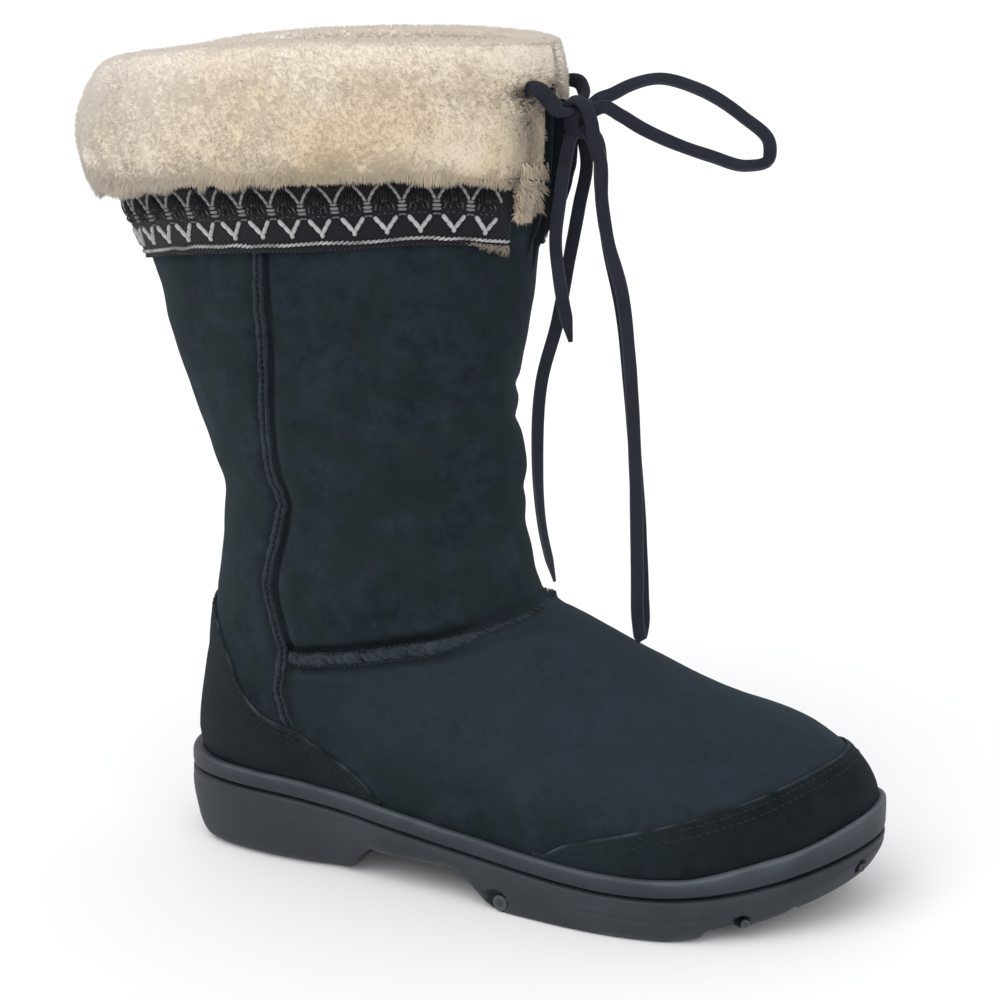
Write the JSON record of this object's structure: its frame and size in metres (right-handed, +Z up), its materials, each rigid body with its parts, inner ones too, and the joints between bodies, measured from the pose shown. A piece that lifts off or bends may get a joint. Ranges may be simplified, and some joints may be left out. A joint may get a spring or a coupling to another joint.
{
  "type": "sheepskin boot",
  "caption": "Mid-calf suede and shearling winter boot on a rubber lug sole, with a turned-down fleece cuff, a woven band, toe and heel overlays and a thong tie.",
  "frame": {"origin": "on the ground under the middle of the boot's own box, measured without the free lace", "axes": "+X to the toe, +Y to the wearer's left (the inner side of this right boot), +Z up"},
  "size_m": [0.3314, 0.1512, 0.3278],
  "materials": {
    "sole_rubber": "matt moulded rubber",
    "rim_rubber": "satin moulded rubber",
    "fleece_lining": "deep fleece",
    "suede": "brushed suede nap",
    "dark_suede": "short smooth suede nap",
    "woven_braid": "flat woven wool braid, dark with white",
    "shearling": "long tufted fleece",
    "thong_leather": "soft suede thong"
  },
  "bodies": {
    "root": {"outsole": "sole_rubber", "midsole": "rim_rubber", "insole": "fleece_lining", "upper": "suede", "heel_counter": "dark_suede", "toe_cap": "dark_suede", "braid_band": "woven_braid", "fur_cuff": "shearling", "lace_bar": "thong_leather", "lace_knot": "thong_leather", "lace_loop_side": "thong_leather", "lace_loop_hang": "thong_leather", "lace_tail_short": "thong_leather", "lace_tail_long": "thong_leather"}
  },
  "joints": []
}
